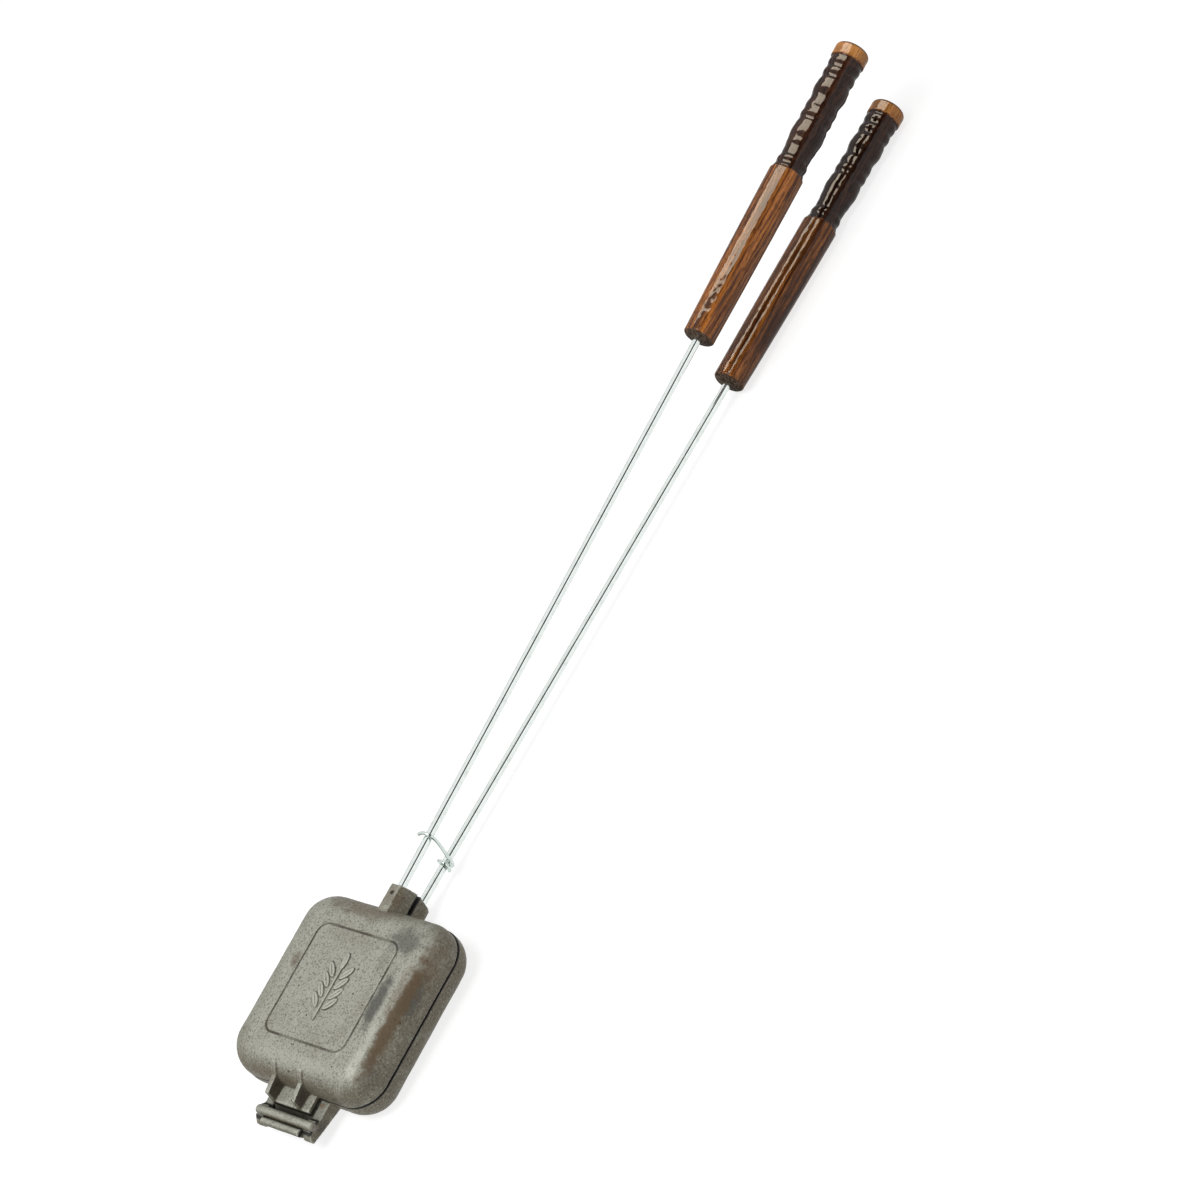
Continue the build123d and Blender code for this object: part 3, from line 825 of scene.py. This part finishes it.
def spin(name, start, along, profile, layer=None, segments=SEGMENTS, relief=None):
    """A closed turned piece; profile is (distance along, radius) in millimetres."""
    side = Vector((0, 1, 0))
    if abs(along.dot(side)) > 0.9:
        side = Vector((1, 0, 0))
    side = (side - along * side.dot(along)).normalized()
    up = along.cross(side)
    mesh = bpy.data.meshes.new(name)
    shape = bmesh.new()
    distance = shape.verts.layers.float.new(layer) if layer else None
    rings = []
    for station, radius in profile:
        ring = []
        for step in range(segments):
            angle = 2 * math.pi * step / segments
            out = side * math.cos(angle) + up * math.sin(angle)
            swell = relief(station, angle) if relief else 0.0
            vert = shape.verts.new(start + along * (station * MM) + out * ((radius + swell) * MM))
            if distance:
                vert[distance] = station * MM
            ring.append(vert)
        rings.append(ring)
    for ring, following in zip(rings, rings[1:]):
        for step in range(segments):
            ahead = (step + 1) % segments
            shape.faces.new((ring[step], ring[ahead], following[ahead], following[step]))
    shape.faces.new(rings[-1])
    shape.faces.new(list(reversed(rings[0])))
    bmesh.ops.recalc_face_normals(shape, faces=shape.faces)
    shape.to_mesh(mesh)
    shape.free()
    piece = bpy.data.objects.new(name, mesh)
    bpy.context.scene.collection.objects.link(piece)
    return piece


def line_of(node, axis):
    """A straight piece's two end centres, read from the frame's mesh."""
    places = vertex_places(frame["nodes"][node].data)
    ends = places[:, axis]
    low = places[ends < ends.min() + 1.0]
    high = places[ends > ends.max() - 1.0]
    middle = [(group.min(axis=0) + group.max(axis=0)) / 2 for group in (low, high)]
    start, end = (Vector(place) * MM for place in middle)
    return start, end


# %% Bars and rods
HINGE_BAR_RADIUS = 2.6
ROD_RADIUS = 2.38
BROKEN_EDGE = 0.35
WORN_EDGE = 1.0
RING_SPACING = 6.0


def bar_profile(length, radius, edge):
    """A round bar with a broken edge at each end."""
    profile = [(0.0, radius - edge), (edge * 0.3, radius - edge * 0.3), (edge, radius)]
    count = max(2, round(length / RING_SPACING))
    profile += [(edge + (length - 2 * edge) * step / count, radius) for step in range(1, count)]
    profile += [(length - edge, radius), (length - edge * 0.3, radius - edge * 0.3)]
    return profile + [(length, radius - edge)]


def make_bar(node, axis, radius, edge, name, material):
    start, end = line_of(node, axis)
    length = (end - start).length / MM
    piece = spin(name, start, (end - start).normalized(), bar_profile(length, radius, edge))
    finish_mesh(piece, material)
    print(name, "is", round(length, 1), "mm long")
    return stand_in(piece, node)


make_bar("hinge_bar", 1, HINGE_BAR_RADIUS, WORN_EDGE, "rubbed_hinge_bar", BAR_IRON)
make_bar("upper_rod", 0, ROD_RADIUS, BROKEN_EDGE, "upper_drawn_rod", PLATED_ROD)
make_bar("lower_rod", 0, ROD_RADIUS, BROKEN_EDGE, "lower_drawn_rod", PLATED_ROD)

# %% Carried-over pieces
CARRIED = {
    "upper_rod_pin": PIN_STEEL,
    "lower_rod_pin": PIN_STEEL,
    "latch_hook": LATCH_WIRE,
}
for node_name, finish in CARRIED.items():
    node_mesh = frame["nodes"][node_name].data
    node_mesh.materials.clear()
    node_mesh.materials.append(finish)
    print(node_name, "takes", finish.name)

# %% [markdown]
# ## The turned handles
# A handle is turned on a lathe: a profile spun round a line. Here the profile is a list
# of rings, and the line is the rod that the handle sits on.

# %% Handle profile
PLAIN_LENGTH = 115.0
PLAIN_RINGS = 150
BUTT_RADIUS = 9.4
MIDDLE_RADIUS = 10.2
SHOULDER_RADIUS = 10.6
EDGE_BREAK = 0.8
CAP_RADIUS = 10.5
CAP_LENGTH = 8.8
CAP_ROUND = 2.2
CAP_FLAT = 4.0
CAP_RINGS, CAP_RING_SPACING = 8, 0.8
ROUND_STEPS = 6
GRIP_TURNING = [
    (0.0, 9.8),
    (3.8, 9.0),
    (6.6, 9.35),
    (10.0, 8.6),
    (14.5, 8.75),
    (19.5, 9.3),
    (26.5, 10.05),
    (31.5, 9.7),
    (35.0, 9.1),
    (38.8, 9.75),
    (42.0, 9.35),
    (45.4, 9.65),
    (50.2, 9.05),
    (57.6, 10.2),
    (61.5, 9.9),
    (65.4, 9.2),
    (69.2, 9.85),
    (72.8, 9.3),
    (76.6, 9.95),
    (79.6, 9.6),
]


def eased(points, steps):
    """Cosine steps between neighbouring points, so that each bead and cove is round."""
    line = []
    for (s0, r0), (s1, r1) in zip(points, points[1:]):
        for step in range(steps):
            share = step / steps
            swell = (1 - math.cos(math.pi * share)) / 2
            line.append((s0 + (s1 - s0) * share, r0 + (r1 - r0) * swell))
    line.append(points[-1])
    return line


def handle_profile():
    """(distance from the rod end, radius) of each ring, in millimetres."""
    rings = [(0.0, ROD_RADIUS), (0.0, BUTT_RADIUS - EDGE_BREAK), (EDGE_BREAK, BUTT_RADIUS)]
    for step in range(1, PLAIN_RINGS):
        share = step / PLAIN_RINGS
        bow = 4 * share * (1 - share) * (MIDDLE_RADIUS - (BUTT_RADIUS + SHOULDER_RADIUS) / 2)
        radius = BUTT_RADIUS + (SHOULDER_RADIUS - BUTT_RADIUS) * share + bow
        rings.append((EDGE_BREAK + (PLAIN_LENGTH - 2 * EDGE_BREAK) * share, radius))
    rings.append((PLAIN_LENGTH - EDGE_BREAK, SHOULDER_RADIUS))
    rings += [(PLAIN_LENGTH + along, radius) for along, radius in eased(GRIP_TURNING, 6)]
    cap_start = PLAIN_LENGTH + GRIP_TURNING[-1][0] + EDGE_BREAK
    end = cap_start + CAP_LENGTH
    rings.append((cap_start - 0.25, CAP_RADIUS - 0.35))
    for step in range(CAP_RINGS):
        rings.append((cap_start + 0.2 + CAP_RING_SPACING * step, CAP_RADIUS))
    for step in range(ROUND_STEPS + 1):
        turn_by = math.pi / 2 * step / ROUND_STEPS
        rings.append(
            (
                end - CAP_ROUND + CAP_ROUND * math.sin(turn_by),
                CAP_RADIUS - CAP_ROUND + CAP_ROUND * math.cos(turn_by),
            )
        )
    rings.append((end, CAP_FLAT))
    return rings


PROFILE = handle_profile()
print("handle profile has", len(PROFILE), "rings and is", PROFILE[-1][0], "mm long")

# %% [markdown]
# ### Grain that stands up
# Open-grained wood is never as smooth as steel: its hard lines stand up a few hundredths
# of a millimetre after sanding, and thin lacquer follows them. The eye can't see such a
# height, but it sees the edges of every reflection turn ragged. So the waves are put
# into the mesh, with a noise stretched along the handle.

# %% Turn the handles
HANDLE_SEGMENTS = 128
GRAIN_HEIGHT = 0.06
GRAIN_LENGTH = 3.4
GRAIN_WIDTH = 1.3
SMOOTH_END = 2.0


def raised_grain(seed):
    """How far the wood stands up at a distance along the handle and an angle round it."""

    def relief(station, angle):
        across = MIDDLE_RADIUS / GRAIN_WIDTH
        y, z = across * math.cos(angle), across * math.sin(angle)
        place = Vector((station / GRAIN_LENGTH + seed, y, z))
        to_end = HANDLE_END / MM - SMOOTH_END - station
        inside = min(1.0, max(0.0, to_end / SMOOTH_END), station)
        return GRAIN_HEIGHT * (mathutils_noise.noise(place) - 0.5) * inside

    return relief


def turn_handle(node, rod, name, seed):
    """Spins the profile round the rod's line, back from the end of the frame's handle."""
    start, end = line_of(rod, 0)
    along = (end - start).normalized()
    far_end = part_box(node)[1].x
    tip = start + along * ((far_end - start.x) / along.x)
    butt = tip - along * (PROFILE[-1][0] * MM)
    piece = spin(name, butt, along, PROFILE, ALONG_HANDLE, HANDLE_SEGMENTS, raised_grain(seed))
    finish_mesh(piece, HANDLE_WOOD)
    print(name, "starts at", [round(c / MM, 1) for c in butt])
    return stand_in(piece, node)


upper_grip = turn_handle("upper_handle", "upper_rod", "upper_turned_handle", 0.0)
lower_grip = turn_handle("lower_handle", "lower_rod", "lower_turned_handle", 50.0)

# %% [markdown]
# ## Floor and light
# The iron lies on a white table. Its lower handle reaches below the base of the head, so
# the table touches the head's rear edge and the end of the handle, and is a little
# tilted in this frame. Its white comes from its own glow for the camera and for
# mirrors, so that no extra light falls on the iron, and it still takes a shadow.

# %% Floor
head_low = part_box("lower_shell")[0]
grip_low, grip_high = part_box("lower_handle")
HEAD_REAR_EDGE = 0.0386
TOUCH_HEAD = Vector((HEAD_REAR_EDGE, 0, head_low.z))
TOUCH_HANDLE = Vector((grip_high.x - CAP_ROUND * MM, 0, grip_low.z))
floor_run = (TOUCH_HANDLE - TOUCH_HEAD).normalized()
floor_up = Vector((-floor_run.z, 0, floor_run.x))
FLOOR_GAP = 0.1 * MM
FLOOR_SIZE = 12.0
FLOOR_GREY = (0.42, 0.42, 0.42, 1.0)
FLOOR_GLOW = 0.76


def make_floor():
    material, tree, shader = new_material("white_table", Roughness=0.9)
    shader.inputs["Specular IOR Level"].default_value = 0.0
    shader.inputs["Base Color"].default_value = FLOOR_GREY
    shader.inputs["Emission Color"].default_value = (1.0, 1.0, 1.0, 1.0)
    path = add_node(tree, "ShaderNodeLightPath").outputs
    seen = maths(tree, "ADD", path["Is Camera Ray"], path["Is Glossy Ray"], clamp=True)
    seen = maths(tree, "ADD", seen, path["Is Transmission Ray"], clamp=True)
    tree.links.new(maths(tree, "MULTIPLY", seen, FLOOR_GLOW), shader.inputs["Emission Strength"])
    mesh = bpy.data.meshes.new("white_table")
    middle = TOUCH_HEAD - floor_up * FLOOR_GAP
    half = FLOOR_SIZE / 2
    across = Vector((0, 1, 0))
    signs = ((-1, -1), (1, -1), (1, 1), (-1, 1))
    corners = [middle + floor_run * a * half + across * b * half for a, b in signs]
    mesh.from_pydata([tuple(c) for c in corners], [], [(0, 1, 2, 3)])
    table = bpy.data.objects.new("white_table", mesh)
    bpy.context.scene.collection.objects.link(table)
    mesh.materials.append(material)
    return table


table = make_floor()
print("table tilt", round(math.degrees(math.asin(-floor_run.z)), 2), "degrees")

# %% [markdown]
# ### A studio to mirror
# Lacquer and plating show what stands round them. A studio has a large bright screen
# overhead and behind, a white wall in front, and a dark gap between the two where the
# camera and the ceiling are. Only mirror-like rays see this pattern. It is drawn on the
# world by the angle round the iron's length, so that the gap becomes one dark line
# along every rod and handle. A key lamp from above shapes the iron and casts its shadow,
# and a weak fill opens the front. One more warm lamp makes the handles' highlight. It is
# linked to the handles alone, because on the iron it would turn the grey to cream.


# %% Lights
def add_softbox(name, place, target, size, power):
    """A soft light at a place, facing a target; size is its width and depth."""
    lamp = bpy.data.lights.new(name, "AREA")
    lamp.shape = "RECTANGLE"
    lamp.size, lamp.size_y = size
    lamp.energy = power
    box = bpy.data.objects.new(name, lamp)
    box.location = place
    box.rotation_euler = (Vector(target) - Vector(place)).to_track_quat("-Z", "Y").to_euler()
    bpy.context.scene.collection.objects.link(box)
    return box


KEY_POWER, FILL_POWER, STRIP_POWER = 25.0, 2.0, 37.0
LIT_PLACE = (0.1, 0, 0)
STRIP_TINT = (1.0, 0.87, 0.68)
add_softbox("key_light", (-0.5, 0.0, 2.2), LIT_PLACE, (1.1, 1.1), KEY_POWER)
fill = add_softbox("fill_light", (-0.9, -1.4, 1.2), LIT_PLACE, (1.4, 1.4), FILL_POWER)
fill.visible_glossy = False
strip = add_softbox(
    "handle_strip", (1.16, 0.15, 0.95), (1.16, 0.15, 0), (0.74, 1.06), STRIP_POWER
)
strip.data.color = STRIP_TINT
strip.visible_diffuse = False
lacquered = bpy.data.collections.new("lacquered_handles")
for grip in (upper_grip, lower_grip):
    lacquered.objects.link(grip)
strip.light_linking.receiver_collection = lacquered

SCREEN_GLOW, WALL_GLOW, GAP_GLOW, ROOM_GLOW = 1.05, 1.15, 0.02, 0.36
GAP_FROM, GAP_TO, GAP_BLUR = 108.0, 141.0, 3.0
SCREEN_FROM, SCREEN_FULL, SCREEN_FOOT = 4.0, 22.0, 0.25


def make_world():
    world = bpy.data.worlds.new("studio")
    world.use_nodes = True
    bpy.context.scene.world = world
    tree = world.node_tree
    sky = tree.nodes["Background"]
    sky.inputs["Color"].default_value = (1.0, 1.0, 1.0, 1.0)
    away = add_node(tree, "ShaderNodeTexCoord").outputs["Generated"]
    parts = add_node(tree, "ShaderNodeSeparateXYZ", {0: away}).outputs
    bearing = maths(tree, "ARCTAN2", parts["Z"], parts["Y"])
    round_iron = maths(tree, "MULTIPLY", bearing, 180 / math.pi)
    screen_end = remap(
        tree, round_iron, GAP_FROM - GAP_BLUR, GAP_FROM + GAP_BLUR, SCREEN_GLOW, GAP_GLOW
    )
    wall = remap(tree, round_iron, GAP_TO - GAP_BLUR, GAP_TO + GAP_BLUR, 0.0, WALL_GLOW)
    screen_start = remap(tree, round_iron, SCREEN_FROM, SCREEN_FULL, SCREEN_FOOT, 1.0)
    mirrored = maths(tree, "MULTIPLY", maths(tree, "ADD", screen_end, wall), screen_start)
    path = add_node(tree, "ShaderNodeLightPath").outputs
    clear = maths(tree, "ADD", path["Is Camera Ray"], path["Is Transmission Ray"], clamp=True)
    plain = maths(tree, "MULTIPLY", maths(tree, "SUBTRACT", 1.0, clear), ROOM_GLOW)
    plain = maths(tree, "ADD", plain, clear)
    glossy = path["Is Glossy Ray"]
    strength = maths(
        tree,
        "ADD",
        maths(tree, "MULTIPLY", glossy, mirrored),
        maths(tree, "MULTIPLY", maths(tree, "SUBTRACT", 1.0, glossy), plain),
    )
    tree.links.new(strength, sky.inputs["Strength"])


make_world()
bpy.context.scene.view_settings.view_transform = "Standard"
print("lit by a key, a fill, a strip over the handles and the room")
